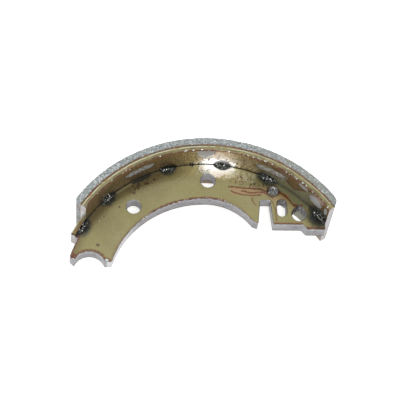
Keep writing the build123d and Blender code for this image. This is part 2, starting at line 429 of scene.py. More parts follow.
# ---------------------------------------------------------------- a finish in the making
class Finish(Wiring):
    """One material, with its shader and the measures of the shaded point that the shoe place gives."""

    def __init__(self, name):
        self.material = bpy.data.materials.new(name)
        self.material.use_nodes = True
        super().__init__(self.material.node_tree)
        self.shader = self.tree.nodes["Principled BSDF"]
        spot = self.use(shoe_place)
        self.place, self.x, self.y, self.height = spot["Place"], spot["X"], spot["Y"], spot["Height"]
        self.radius, self.angle = spot["Radius"], spot["Angle"]
        self.drop, self.rise = spot["Drop"], spot["Rise"]
        self.inset, self.from_pin = spot["Inset"], spot["From pin"]
        self.facing_up, self.facing_in = spot["Facing up"], spot["Facing in"]

    def set(self, label, value):
        self.give(self.shader.inputs[label], value)

    def bump(self, height, strength, depth_mm):
        """Raises the surface's look by a height in shares of a depth."""
        made = self.node("Bump", {"Height": height, "Strength": strength, "Distance": depth_mm * MM})
        self.set("Normal", made.outputs["Normal"])

    def patches(self, size, level, softness, detail=3.0):
        """Soft patches of a size, where noise is over a level."""
        return self.use(
            blotches, Place=self.place, Size=size, Level=level, Softness=softness, Detail=detail,
        )["Mask"]

    def dots(self, spacing, share, size):
        return self.use(specks, Place=self.place, Spacing=spacing, Share=share, Size=size)["Mask"]

    def oval(self, across, over, centre, reach, ragged=0.3):
        """Ragged oval in two measures, about a centre and with a reach each way."""
        return self.use(
            ragged_oval, Place=self.place, Across=across, Over=over, Centre_across=centre[0],
            Centre_over=centre[1], Reach_across=reach[0], Reach_over=reach[1], Ragged=ragged,
        )["Mask"]

    # Mask of the painted glare in the corner, reaching out from it
    def glare_patch(self, out, reach):
        return self.use(painted_glare, Place=self.place, Angle=self.angle, Out=out, Reach=reach)["Mask"]

    def burns(self, out):
        """Burnt ovals at every weld, with their blacker cores."""
        masks, cores = [], []
        for angle, reach_along, reach_out in weld_spots:
            burn = self.use(
                weld_burn, Place=self.place, Angle=self.angle, Out=out, Weld_angle=angle,
                Reach_along=reach_along, Reach_out=reach_out,
            )
            masks.append(burn["Mask"])
            cores.append(burn["Core"])
        return self.most(*masks), self.most(*cores)

    def curve_through(self, value, points):
        """Smooth curve of one measure over another through a few points."""
        order = sorted(points)
        starts, heights = zip(*order)
        low, high = min(heights) - 1, max(heights) + 1
        run = starts[-1] - starts[0]
        share = self.math("DIVIDE", self.math("SUBTRACT", value, starts[0]), run, clamp=True)
        made = self.node("FloatCurve", {"Value": share})
        curve = made.mapping.curves[0]
        for index, (start, height) in enumerate(order):
            place = ((start - starts[0]) / run, (height - low) / (high - low))
            if index in (0, len(order) - 1):
                curve.points[0 if index == 0 else -1].location = place
            else:
                curve.points.new(*place)
        made.mapping.update()
        return self.math("MULTIPLY_ADD", made.outputs[0], high - low, low)

    def tide_line(self, along, over, points, width):
        """Stain line through a few points of one measure over another."""
        starts = [start for start, _ in points]
        offset = self.math("SUBTRACT", over, self.curve_through(along, points))
        return self.use(
            stain_line, Place=self.place, Offset=offset, Along=along, Start=min(starts), End=max(starts),
            Width=width,
        )["Mask"]


class Coat:
    """Colour built up from a ground by painting others over it."""

    def __init__(self, on, ground):
        self.on, self.colour = on, ground

    def over(self, mask, other, strength=1.0):
        """Paints another colour on where a mask is, and gives the colour so far."""
        self.colour = self.on.tint(self.colour, mask, other, strength)
        return self.colour


# ---------------------------------------------------------------- lacquer on the web
# Tide lines left by pooled lacquer, X then Y; the two that run down the plate are Y then X
tide_top = (
    (14, 75.5), (18.8, 75.2), (23.3, 74.5), (28.4, 74.2), (33.5, 73.9), (37.3, 72.9), (39.8, 71.2),
)
tide_middle = (
    (22, 72.6), (25.1, 72.1), (29.6, 71.4), (33.4, 71.5), (37.2, 71.2), (39.7, 69.8), (43.5, 67.1),
)
tide_bottom = ((15.4, 73.0), (16.8, 72.0), (21.9, 70.3), (27, 69.7), (32.1, 69.7), (35.9, 70.1))
tide_over = (
    (45.4, 71.9), (49.0, 70.6), (52.2, 67.8), (54.6, 64.6), (56.4, 62.5), (59.0, 62.2), (62, 63.1),
)
tide_down = ((51.1, 44.8), (57.3, 44.4), (62.2, 43.3), (66.3, 41.5), (68.4, 39.0))
tide_hook = ((62.1, 33.1), (63.4, 31.3), (65.5, 29.7), (66.9, 29.3), (68.3, 29.5))

# Round stains on the web, as X, Y and radius
web_stains = (
    (-67.9, 34.3, 1.1), (-45.4, 70.2, 1.0), (-42.6, 75.2, 1.3), (-37.8, 76.9, 1.2), (-54.5, 60.4, 0.8),
)

# The two toes beside the anchor seat: centre and reach of the rust, and where painted glints sit
outer_toe_rust = ((-83.3, 24.5), (3.6, 4.2))
inner_toe_rust = ((-62.2, 24.0), (2.6, 2.0))
toe_glint_spots = ((-83.6, 24.4), (-62.3, 24.2))

# Pin hole, slot and adjuster hole have dirt and painted shade on their walls: centre, then how far it
# reaches each way
pin_hole = ((43.0, 72.5), (5.0, 5.0))
pin_ring_reach = (4.3, 4.3)
dirty_shaded_holes = (pin_hole, ((48.3, 60.9), (4.2, 7.2)), ((59.2, 58.0), (6.4, 8.0)))

# A shade and a dark spot in the corner: angle and distance from the corner, then their reach
corner_shade = ((-26.8, 1.2), (4.6, 1.5))
joint_spot_centre = (-5.4, 0.2)
joint_spot_on_web = (1.1, 1.2)
joint_spot_on_table = (1.1, 1.3)

# How far out of the corner the painted glare reaches
glare_reach_on_web = 8.5
glare_reach_on_table = 9.0


def hole_walls(on):
    """Mask of the holes, whose walls get dirt and painted shade."""
    return on.most(*(on.oval(on.x, on.y, centre, reach, 0.0) for centre, reach in dirty_shaded_holes))


def web_rust(on):
    """Rust and pooled lacquer on the web's face: inner arc, both toes, seat rim and actuator edge."""
    faint_along_arc = on.math("MULTIPLY", on.within(on.x, -58.0, 35.0, 3.0), 0.35)
    along_arc = on.most(on.within(on.x, -34.0, 11.0, 3.0), faint_along_arc)
    arc_waver = on.waver(on.place, 2.5, 3.0, 1.6)
    arc_pool = on.both(on.ramp(on.math("ADD", on.inset, arc_waver), 1.9, 0.9), along_arc)
    rim_waver = on.waver(on.place, 2.0, 3.0, 1.6)
    rim_pool = on.math("MULTIPLY", on.ramp(on.math("ADD", on.from_pin, rim_waver), 2.5, 1.2), 0.85)
    back_edge = on.both(on.ramp(on.drop, 3.0, 2.3), on.ramp(on.angle, -61.0, -63.0))
    outer_toe = on.oval(on.x, on.y, *outer_toe_rust, 0.7)
    inner_toe = on.math("MULTIPLY", on.oval(on.x, on.y, *inner_toe_rust, 0.7), 0.7)
    above_edge = on.ramp(on.y, actuator_edge_height + 2.0, actuator_edge_height + 0.9)
    before_step = on.both(on.within(on.x, 42.0, step_start, 0.6), above_edge)
    above_step = on.ramp(on.y, step_edge_height + 2.6, step_edge_height + 1.2)
    after_step = on.both(on.ramp(on.x, step_start - 1, step_end), above_step)
    return on.most(arc_pool, rim_pool, back_edge, outer_toe, inner_toe, before_step, after_step)


def web_face_colour(on):
    """Olive lacquer with mottle, tide lines, rust, dirt and weld burns, with painted shade, painted
    reflections, painted glare and painted glints.
    """
    coat = Coat(on, olive)
    coat.over(on.patches(22.0, 0.53, 0.16), olive_light, 0.45)
    beside_arc = on.both(on.ramp(on.x, -45.0, -58.0), on.ramp(on.inset, 9.0, 3.0))
    coat.over(beside_arc, olive_light, 0.6)
    coat.over(on.patches(30.0, 0.6, 0.14), olive_brown, 0.4)
    coat.over(on.patches(1.7, 0.52, 0.22), olive_brown, 0.16)
    coat.over(on.patches(1.1, 0.58, 0.12), olive_light, 0.2)
    coat.over(on.dots(1.9, 0.2, 0.28), band_light, 0.3)
    coat.over(on.dots(2.6, 0.2, 0.32), rust_dark, 0.45)

    # Painted shade and painted reflection of the dark table on the web beside it, towards the anchor end
    shade_and_reflection_near_table = on.both(on.ramp(on.drop, 8.5, 2.0), on.ramp(on.angle, -4.0, -20.0))
    coat.over(shade_and_reflection_near_table, olive_brown, 0.75)
    # Painted reflection of the table: a greener grey on the web beside it, 31 to 45 degrees round
    green = on.both(on.ramp(on.drop, 7.5, 4.0), on.within(on.angle, 31.0, 45.0, 3.0))
    coat.over(green, olive_green, 0.65)
    lit_strip = on.both(on.within(on.drop, 0.9, 1.7, 0.5), on.within(on.angle, -39.0, -32.0, 1.5))
    coat.over(lit_strip, olive_light, 0.8)

    pool = on.both(
        on.ramp(on.y, 75.3, 74.2), on.ramp(on.y, 69.4, 70.2), on.ramp(on.x, 14.0, 18.0),
        on.ramp(on.x, 42.0, 37.0),
    )
    coat.over(pool, tide_pink, 0.6)
    between = on.both(on.within(on.x, 43.0, 52.0, 2.0), on.within(on.y, 66.5, 70.0, 1.5))
    coat.over(between, tide_pink, 0.4)
    lines = on.most(
        on.tide_line(on.x, on.y, tide_top, 0.8), on.tide_line(on.x, on.y, tide_middle, 0.5),
        on.tide_line(on.x, on.y, tide_bottom, 0.45), on.tide_line(on.x, on.y, tide_over, 1.5),
        on.math("MULTIPLY", on.tide_line(on.y, on.x, tide_down, 0.5), 0.7),
        on.tide_line(on.y, on.x, tide_hook, 0.35),
    )
    coat.over(lines, tide_red)

    # Painted glare of the flash in the corner of the web
    coat.over(on.glare_patch(on.drop, glare_reach_on_web), painted_highlight_white, 0.65)
    haze = on.both(on.within(on.angle, 10.0, 20.0, 3.0), on.within(on.drop, 2.0, 7.5, 1.5))
    coat.over(on.both(haze, on.patches(1.4, 0.5, 0.06)), band_light, 0.4)
    sprayed = on.both(on.within(on.angle, 13.0, 27.0, 2.5), on.within(on.drop, 5.5, 10.5, 1.5))
    beside_hole = on.both(on.within(on.angle, -33.0, -21.0, 2.0), on.within(on.drop, 2.5, 6.5, 1.0))
    dirt = on.both(on.patches(1.3, 0.55, 0.03, 4.0), on.most(sprayed, beside_hole))
    coat.over(dirt, rust_dark, 0.8)
    for x, y, reach in web_stains:
        coat.over(on.oval(on.x, on.y, (x, y), (reach, reach), 0.8), rust_dark, 0.7)
    rust = on.tint(rust_red, on.patches(1.6, 0.5, 0.1), rust_dark)
    coat.over(web_rust(on), rust, 0.9)

    pin_ring = on.oval(on.x, on.y, pin_hole[0], pin_ring_reach, 0.4)
    coat.over(pin_ring, rust_dark, 0.8)
    # Painted glints along the inner arc's edge, on the step's edge and at both toes
    arc_edge = on.both(on.ramp(on.inset, 1.1, 0.7), on.within(on.x, -12.0, 12.0, 3.0))
    above_step = on.ramp(on.y, step_edge_height + 1.2, step_edge_height + 0.8)
    step_edge = on.both(above_step, on.ramp(on.x, 60.0, 62.0))
    edge_glints = on.both(on.most(arc_edge, step_edge), on.dots(1.5, 0.6, 0.6))
    toe_glints = on.most(*(on.oval(on.x, on.y, place, (1.1, 0.9), 0.6) for place in toe_glint_spots))
    coat.over(on.most(edge_glints, toe_glints), grit_and_glint_white)

    burnt, core = on.burns(on.drop)
    coat.over(burnt, burn_green, 0.85)
    coat.over(core, burn_black)
    coat.over(on.oval(on.angle, on.drop, *corner_shade), burn_green, 0.95)
    joint_spot = on.oval(on.angle, on.drop, joint_spot_centre, joint_spot_on_web)
    coat.over(joint_spot, burn_black, 0.9)
    soft_joint = on.both(on.ramp(on.drop, 2.6, 0.2), on.ramp(on.angle, 24.0, 30.0))
    coat.over(soft_joint, burn_green, 0.7)
    joint = on.both(on.ramp(on.drop, 0.7, 0.2), on.most(on.within(on.angle, -20.0, 25.0, 3.0), 0.3))
    return coat.over(joint, burn_black, 0.85)


def cut_edge_colour(on):
    """Punched edge: grey with faint upright streaks, a torn line, painted shade along its lower part, a
    painted highlight along its upper part and on the anchor arc, rusty and dark patches, and dirt with
    painted shade in the holes.
    """
    streak = on.noise(on.stretch(on.place, (1.0, 1.0, 0.1)), 0.7, 3.0)
    coat = Coat(on, cut_grey)
    coat.over(on.ramp(streak, 0.45, 0.75), cut_light, 0.4)
    coat.over(on.patches(9.0, 0.52, 0.1), cut_light, 0.35)
    torn = on.math("MULTIPLY_ADD", on.noise(on.place, 6.0, 3.0), 1.8, -1.9)
    below = on.math("SUBTRACT", torn, on.height)
    coat.over(on.within(below, 0.2, 0.4, 0.3), cut_dark, 0.6)
    coat.over(on.ramp(below, 0.6, 1.2), cut_light, 0.5)
    # Painted shade along the lower part of the punched edge
    lower = on.ramp(on.height, -web_top + 2.6, -web_top + 1.4)
    coat.over(lower, cut_dark, 0.75)
    coat.over(on.patches(4.0, 0.62, 0.05), rust_dark, 0.35)
    # Painted highlight along the upper part of the punched edge
    upper = on.ramp(on.height, web_top - 2.2, web_top - 0.9)
    coat.over(upper, cut_light, 0.55)
    # Painted highlight on the punched edge of the anchor arc
    highlit_left_arc = on.both(on.ramp(on.x, -40.0, -52.0), on.ramp(on.inset, 4.0, 2.0))
    coat.over(highlit_left_arc, painted_highlight_white, 0.7)
    in_holes = hole_walls(on)
    # Painted shade: the hole walls darkened throughout
    coat.over(in_holes, cut_dark, 0.6)
    coat.over(on.both(in_holes, on.patches(1.7, 0.46, 0.04)), burn_black, 0.9)
    pin_dirt = on.tint(burn_black, on.patches(2.2, 0.56, 0.03), grit_and_glint_white)
    coat.over(on.oval(on.x, on.y, *pin_hole, 0.0), pin_dirt)
    return coat.over(on.both(in_holes, on.dots(2.0, 0.35, 0.6)), grit_and_glint_white)


def make_web_lacquer():
    """Olive lacquer on the plate's sides, punched grey edges, and a bright broken edge between them, with
    painted glints on the upper chamfers and painted shade on the lower ones.
    """
    on = Finish("olive lacquer on plate")
    side = on.ramp(on.facing_up, 0.80, 0.95)
    cut = on.ramp(on.facing_up, 0.45, 0.2)
    rim = on.tint(cut_light, on.patches(1.8, 0.5, 0.1), cut_grey)
    # Painted glints on the upper chamfers
    glints = on.both(on.dots(1.9, 0.6, 0.7), on.ramp(on.height, 0.0, 1.0))
    rim = on.tint(rim, on.both(on.ramp(on.inset, 3.0, 2.0), on.patches(2.2, 0.47, 0.06)), rust_dark, 0.8)
    # Painted shade on the lower chamfers
    rim = on.tint(rim, on.ramp(on.height, 0.0, -1.0), cut_dark, 0.8)
    rim = on.tint(rim, glints, grit_and_glint_white)
    rim = on.tint(rim, hole_walls(on), rust_dark, 0.85)
    edge = on.tint(rim, cut, cut_edge_colour(on))
    on.set("Base Color", on.tint(edge, side, web_face_colour(on)))
    on.set("Metallic", on.math("MULTIPLY_ADD", side, -0.12, 0.66))
    rough = on.math("MULTIPLY_ADD", on.noise(on.place, 1.2, 2.0), 0.16, 0.1)
    on.set("Roughness", on.math("MULTIPLY_ADD", cut, 0.2, rough))
    on.set("Coat Weight", on.math("MULTIPLY", side, 0.5))
    on.set("Coat Roughness", 0.1)
    film = on.use(sprayed_film, Place=on.place, Size=1.3, Fine=0.5)["Height"]
    on.bump(film, 0.5, 0.13)
    return on.material


# ---------------------------------------------------------------- lacquer on the table
# Bare smooth spots that the lacquer missed on the table's inner face: angle and height, then their reach
bare_spots = (
    ((-0.4, 24.0), (3.6, 9.6)), ((41.8, 20.8), (2.5, 2.0)), ((48.7, 16.6), (3.3, 4.6)),
    ((54.5, 17.5), (0.9, 4.2)),
)

# Tide line on the table's inner face near the actuator end, angle then height
table_tide = (
    (26, 22.0), (31, 18.5), (33.6, 14.8), (35.8, 11.6), (37.8, 10.5), (39.6, 12.2), (41.4, 15.5),
    (43.6, 19.9), (45.9, 24.1),
)


def table_face_colour(on, glare):
    """Brown lacquer inside the strip: streaks, painted shade at its foot, a grey reach, tide line, painted
    glare and burns.
    """
    streak = on.noise(on.stretch(on.place, (1.0, 1.0, 0.3)), 2.2, 3.0)
    coat = Coat(on, table_brown)
    coat.over(on.ramp(streak, 0.35, 0.75), table_dark, 0.6)
    # Painted shade at the foot of the table's face, beside the web
    foot = on.both(on.ramp(on.rise, 7.0, 1.0), on.ramp(on.angle, 25.0, -5.0))
    coat.over(foot, table_dark, 0.55)
    coat.over(on.patches(1.6, 0.55, 0.12), band_olive, 0.14)
    upper = on.ramp(on.rise, half_width - web_top - 6.5, half_width - web_top - 1.0)
    coat.over(on.both(upper, on.patches(7.0, 0.45, 0.12)), orange_brown, 0.6)

    line_height = on.curve_through(on.angle, table_tide)
    above = on.math("SUBTRACT", on.height, line_height)
    reach = on.both(on.within(on.angle, 27.0, 44.0, 6.0), on.ramp(above, 1.0, -1.0))
    coat.over(reach, table_grey, 0.85)
    end_shade = on.both(on.ramp(on.angle, 42.0, 46.0), on.ramp(on.rise, 12.0, 7.0))
    coat.over(end_shade, burn_green, 0.35)
    tide = on.tide_line(on.angle, on.height, table_tide, 1.6)
    coat.over(tide, rust_dark, 0.9)

    coat.over(on.within(on.angle, 13.0, 22.0, 5.0), table_dark, 0.4)
    # Painted glare of the flash in the corner of the table
    coat.over(glare, painted_highlight_white, 0.8)
    burnt, core = on.burns(on.rise)
    inner_side = on.ramp(on.facing_in, -0.5, 0.0)
    coat.over(on.both(burnt, inner_side), burn_green, 0.85)
    coat.over(on.both(core, inner_side), burn_black)
    joint_spot = on.oval(on.angle, on.rise, joint_spot_centre, joint_spot_on_table)
    coat.over(joint_spot, burn_black, 0.9)
    corner = on.both(on.ramp(on.rise, 0.8, 0.2), on.ramp(on.angle, 27.0, 22.0))
    return coat.over(corner, burn_black, 0.8)


def table_band_colour(on):
    """Upper and lower edges of the strip: olive, with a painted highlight line, and brown at both borders.
    """
    coat = Coat(on, band_olive)
    coat.over(on.patches(5.0, 0.5, 0.16), olive_brown, 0.7)
    waver = on.waver(on.place, 9.0, 3.0, 1.2)
    level = on.math("ADD", on.radius, waver)
    # Painted highlight along the band, weaker past 12 degrees
    highlight_line = on.within(level, 93.45, 93.8, 0.3)
    broken = on.ramp(on.noise(on.place, 5.0, 3.0), 0.3, 0.5)
    paler = on.ramp(on.angle, 12.0, 22.0, 1.0, 0.55)
    coat.over(on.both(highlight_line, broken, paler), band_light, 0.8)
    seep = on.both(on.ramp(level, 94.0, 94.5), on.patches(4.0, 0.47, 0.08))
    coat.over(seep, orange_brown, 0.85)
    drips = on.both(on.ramp(on.angle, -25.0, -33.0), on.patches(3.0, 0.6, 0.05))
    coat.over(drips, orange_brown, 0.7)
    inner_line = on.ramp(level, 91.9, 91.3)
    coat.over(inner_line, rust_dark, 0.7)
    speckled = on.both(on.ramp(on.angle, 10.0, 18.0), on.dots(1.9, 0.5, 0.42))
    coat.over(speckled, band_light, 0.8)
    return coat.over(on.dots(3.0, 0.3, 0.5), grit_and_glint_white, 0.6)


def make_table_lacquer():
    """Brown-olive lacquer on the rolled strip, with a lighter edge band, bare spots and white glints."""
    on = Finish("brown lacquer on rolled strip")
    band = on.ramp(on.facing_up, 0.70, 0.92)
    inner = on.ramp(on.facing_in, 0.55, 0.85)
    bare = on.most(*(on.oval(on.angle, on.height, centre, reach) for centre, reach in bare_spots))
    bare = on.both(bare, on.ramp(on.height, 24.0, 23.4))
    # Painted glare in the corner of the table; its clear coat is heavier there too
    glare = on.glare_patch(on.rise, glare_reach_on_table)
    coat = Coat(on, table_face_colour(on, glare))
    coat.over(bare, bare_grey)
    coat.over(on.both(band, on.neither(inner)), table_band_colour(on))
    bend = on.both(on.ramp(on.facing_up, 0.15, 0.4), on.ramp(on.facing_in, 0.15, 0.4))
    bend_colour = on.tint(rust_dark, on.patches(2.4, 0.56, 0.08), olive_brown)
    right_half = on.ramp(on.angle, 8.0, 20.0)
    # Painted glints along the bend, denser on the right half
    glints = on.most(on.dots(1.9, 0.6, 0.62), on.both(right_half, on.dots(1.5, 0.8, 0.5)))
    bend_colour = on.tint(bend_colour, glints, grit_and_glint_white)
    coat.over(bend, bend_colour)

    facing_radially = on.math("ABSOLUTE", on.facing_in)
    sideways = on.both(on.ramp(on.facing_up, 0.3, 0.15), on.ramp(facing_radially, 0.3, 0.15))
    at_end = on.math("GREATER_THAN", on.math("ABSOLUTE", on.angle), shoe_end - 0.5)
    end_face = on.both(sideways, at_end)
    end_colour = on.tint(cut_light, on.patches(3.5, 0.53, 0.08), rust_red, 0.5)
    end_colour = on.tint(end_colour, on.patches(1.4, 0.5, 0.1), cut_grey, 0.6)
    coat.over(end_face, end_colour)
    on.set("Base Color", coat.colour)
    on.set("Metallic", on.math("MULTIPLY_ADD", inner, -0.15, 0.5))
    rough = on.math("MULTIPLY_ADD", on.noise(on.place, 3.0, 2.0), 0.12, 0.2)
    on.set("Roughness", on.math("MULTIPLY_ADD", bare, 0.2, rough))
    on.set("Coat Weight", on.math("MULTIPLY_ADD", glare, 0.6, 0.2))
    on.set("Coat Roughness", 0.1)
    upright = on.stretch(on.place, (1.0, 1.0, 0.45))
    film = on.use(sprayed_film, Place=upright, Size=1.4, Fine=0.35)["Height"]
    flat_film = on.both(film, on.neither(bare))
    on.bump(flat_film, 0.38, 0.14)
    return on.material


# ---------------------------------------------------------------- other finishes
def make_friction_lining():
    """Pale grey moulded grit: grains of three greys, specks, and rust stains at the anchor end."""
    on = Finish("friction lining")
    coat = Coat(on, grit_dark)
    coat.over(on.ramp(on.noise(on.place, 0.8, 3.0, 0.65), 0.36, 0.54), grit_grey)
    coat.over(on.patches(1.1, 0.56, 0.05), grit_and_glint_white, 0.7)
    coat.over(on.dots(1.4, 0.36, 0.5), grit_dark, 0.8)
    coat.over(on.dots(1.9, 0.28, 0.45), grit_and_glint_white)
    sandy = on.ramp(on.angle, 12.0, 26.0)
    coat.over(on.both(sandy, on.patches(1.3, 0.54, 0.05)), grit_tan, 0.7)
    coat.over(on.both(sandy, on.dots(2.3, 0.3, 0.5)), grit_and_glint_white, 0.9)
    near_bond = on.both(on.within(on.radius, 95.0, 95.5, 0.5), on.patches(2.5, 0.5, 0.08))
    coat.over(near_bond, glue_brown, 0.6)
    key_face = on.ramp(on.radius, 93.0, 92.5)
    coat.over(on.both(key_face, on.patches(1.8, 0.52, 0.05)), table_brown, 0.6)
    coat.over(on.both(key_face, on.dots(2.0, 0.45, 0.6)), grit_and_glint_white)
    anchor_face = on.ramp(on.angle, -55.2, -55.9)
    stained = on.both(anchor_face, on.patches(5.0, 0.55, 0.08))
    coat.over(stained, rust_red, 0.55)
    outer = on.both(on.ramp(on.radius, 99.2, 99.7), on.ramp(on.facing_up, 0.5, 0.3))
    ground = on.noise(on.stretch(on.place, (0.08, 0.08, 2.2)), 1.0, 3.0)
    coat.over(on.both(outer, on.ramp(ground, 0.45, 0.7)), grit_and_glint_white, 0.3)
    on.set("Base Color", coat.colour)
    on.set("Roughness", 0.75)
    grain = on.noise(on.place, 0.7, 4.0, 0.7)
    ground_grain = on.math("MULTIPLY_ADD", ground, on.math("MULTIPLY", outer, 0.15), grain)
    on.bump(ground_grain, 0.8, 0.25)
    return on.material


def make_adhesive():
    """Cured brown adhesive with lighter and darker runs."""
    on = Finish("cured adhesive")
    coat = Coat(on, glue_brown)
    coat.over(on.patches(3.5, 0.54, 0.12), orange_brown)
    coat.over(on.patches(5.0, 0.52, 0.06), rust_dark, 0.8)
    on.set("Base Color", coat.colour)
    on.set("Roughness", 0.35)
    on.bump(on.noise(on.place, 0.8, 2.0), 0.4, 0.1)
    return on.material


def make_weld_metal():
    """Dark burnt bead under lacquer: grey-green scale, glossy, with painted white glints as specks."""
    on = Finish("burnt weld metal")
    scale = on.noise(on.place, 1.4, 3.0)
    coat = Coat(on, burn_black)
    coat.over(on.ramp(scale, 0.4, 0.7), burn_green)
    # Painted glints: white specks, less metallic than the bead
    glint_specks = on.dots(1.7, 0.62, 0.58)
    on.set("Base Color", coat.over(glint_specks, grit_and_glint_white))
    on.set("Metallic", on.math("MULTIPLY_ADD", glint_specks, -0.7, 0.7))
    on.set("Roughness", on.math("MULTIPLY_ADD", scale, 0.3, 0.06))
    on.set("Coat Weight", 0.6)
    on.set("Coat Roughness", 0.06)
    on.bump(on.noise(on.place, 1.0, 2.0), 0.5, 0.2)
    return on.material


def seen_directly(wire):
    """One for the rays that show the surroundings themselves, and nothing for those that carry light."""
    path = wire.node("LightPath")
    return wire.most(*(path.outputs[f"Is {kind} Ray"] for kind in ("Camera", "Glossy", "Transmission")))


def make_floor_white():
    """Floor that shows white to the camera and in reflections, and keeps a faint shadow."""
    material = bpy.data.materials.new("pale floor")
    material.use_nodes = True
    wire = Wiring(material.node_tree)
    shader = material.node_tree.nodes["Principled BSDF"]
    shader.inputs["Base Color"].default_value = (0.8, 0.8, 0.8, 1)
    shader.inputs["Roughness"].default_value = 0.9
    shader.inputs["Specular IOR Level"].default_value = 0.0
    glow = wire.node("Emission", {"Strength": 0.7})
    added = wire.node("AddShader", {0: shader.outputs[0], 1: glow.outputs[0]})
    mixed = wire.node("MixShader", {0: seen_directly(wire), 1: shader.outputs[0], 2: added.outputs[0]})
    wire.give(material.node_tree.nodes["Material Output"].inputs["Surface"], mixed.outputs[0])
    return material


def light_world():
    """Even pale surroundings: white to the camera and in reflections, softer as a source of light."""
    world = bpy.data.worlds.new("studio")
    bpy.context.scene.world = world
    world.use_nodes = True
    wire = Wiring(world.node_tree)
    back = world.node_tree.nodes["Background"]
    back.inputs["Color"].default_value = (1, 1, 1, 1)
    even_light = 0.5
    strength = wire.math("MULTIPLY_ADD", seen_directly(wire), 1 - even_light, even_light)
    wire.give(back.inputs["Strength"], strength)


# ---------------------------------------------------------------- help for meshes
def finish_mesh(name, points, faces, material, slot, *replaced):
    """Smooth object at the origin from points in millimetres and from faces, riding on the shoe."""
    mesh = bpy.data.meshes.new(name)
    mesh.from_pydata((points * MM + np.array(drum_axis)).tolist(), [], faces)
    mesh.polygons.foreach_set("use_smooth", [True] * len(mesh.polygons))
    mesh.materials.append(material)
    mesh.update()
    piece = bpy.data.objects.new(name, mesh)
    bpy.context.scene.collection.objects.link(piece)
    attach(piece, "root")
    if replaced:
        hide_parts(*replaced)
    return piece


def tube_faces(rows, columns, turned_over=False):
    """Quads between rows of points that are each closed into a ring, with a face over each end."""
    row, column = np.meshgrid(np.arange(rows - 1), np.arange(columns), indexing="ij")
    after = (column + 1) % columns
    start, below = row * columns, (row + 1) * columns
    quads = np.stack((start + column, start + after, below + after, below + column), -1).reshape(-1, 4)
    faces = [*quads, np.arange(columns)[::-1], np.arange(columns) + (rows - 1) * columns]
    return [face[::-1].tolist() if turned_over else face.tolist() for face in faces]


def join_skins(skins):
    """Points and faces of several closed skins as one list of each."""
    points, faces, start = [], [], 0
    for skin_points, skin_faces in skins:
        points.append(skin_points.reshape(-1, 3))
        faces += [[corner + start for corner in face] for face in skin_faces]
        start += len(points[-1])
    return np.vstack(points), faces


def on_arc(radius, angle, height):
    """Points at radii from the drum's axis, at angles in degrees from +Y, and at heights."""
    turn = np.radians(angle)
    return np.stack(np.broadcast_arrays(radius * np.sin(turn), radius * np.cos(turn), height), -1)


def lattice_noise(points, size, seed):
    """Smooth noise from -1 to 1: random values at the corners of cells, eased between them."""
    cells = 37
    values = np.random.default_rng(seed).uniform(-1, 1, (cells, cells, cells))
    place = points / size
    low = np.floor(place).astype(int)
    share = place - low
    share = share * share * (3 - 2 * share)
    total = 0
    for corner in np.ndindex(2, 2, 2):
        weight = np.prod(np.where(corner, share, 1 - share), axis=-1)
        total = total + weight * values[tuple(np.moveaxis((low + corner) % cells, -1, 0))]
    return total


def layered_noise(points, *layers):
    """Sum of lattice noises, each with its share, size and seed."""
    return sum(share * lattice_noise(points, size, seed) for share, size, seed in layers)


# Where the noise is read, away from the points' own places
noise_start = 300
bead_noise_start = 50


# ---------------------------------------------------------------- weld beads
bead_length = 12
bead_radius = 3.15
bead_sunk = 0.25
spatter_per_weld = 7
spatter_sunk = 0.02


def weld_bead(angle, side, seed):
    """Points of one bead: rings across the corner, set along the arc.

    A ring's front swings from the web's face to the table's face round the corner. Its reach is the
    bead's radius times a blunt dome along the bead, with low ripples across the run and noise. The ring's
    back is a point sunk in the corner.
    """
    rows, columns = 64, 30
    share = np.linspace(-1, 1, rows)[:, None]
    swing = np.linspace(-0.1, np.pi / 2 + 0.1, columns - 1)[None, :]
    dome = np.clip(1 - np.abs(share) ** 2.4, 0, 1) ** 0.6
    ripple = 0.025 * np.sin(share * 21 + 1.5 * np.cos(2 * swing) + seed)
    along = share * bead_length / 2 + np.zeros_like(swing)
    field = np.stack((along, 4 * np.cos(swing) + 0 * along, 4 * np.sin(swing) + 0 * along), -1)
    lumps = layered_noise(field + bead_noise_start, (0.16, 2.6, seed), (0.05, 1.0, seed + 1))
    reach = bead_radius * dome * (0.9 + ripple + lumps - 0.1 * np.cos(4 * swing))
    drop = np.hstack((reach * np.cos(swing), np.full((rows, 1), -bead_sunk)))
    rise = np.hstack((reach * np.sin(swing), np.full((rows, 1), -bead_sunk)))
    along = np.hstack((along, share * bead_length / 2))
    turn = angle + np.degrees(along / table_face_radius)
    return on_arc(table_face_radius - drop, turn, side * (web_top + rise))


def make_weld_beads(material):
    """All twelve beads in one mesh, each a closed skin."""
    skins = []
    for side, (index, (angle, _, _)) in product((1, -1), enumerate(weld_spots)):
        bead = weld_bead(angle, side, 10 * index + side + 5)
        skins.append((bead, tube_faces(*bead.shape[:2], turned_over=side < 0)))
    return finish_mesh("weld_beads", *join_skins(skins), material, "weld_metal", "welds")


def spatter_drop(side, angle, out, size, on_web):
    """Points of one drop: rings of a low dome about its middle, on the web's or on the table's face."""
    rows, columns = 5, 10
    lift = np.linspace(0, np.pi / 2 * 0.96, rows)[:, None]
    turn = np.linspace(0, 2 * np.pi, columns, endpoint=False)[None, :]
    along = size * np.cos(lift) * np.cos(turn)
    over = size * np.cos(lift) * np.sin(turn)
    up = size * 0.7 * np.sin(lift) + 0 * turn - spatter_sunk
    if on_web:
        radius, height = table_face_radius - out - over, side * (web_top + up)
    else:
        radius, height = table_face_radius - up, side * (web_top + out + over)
    return on_arc(radius, angle + np.degrees(along / table_face_radius), height)


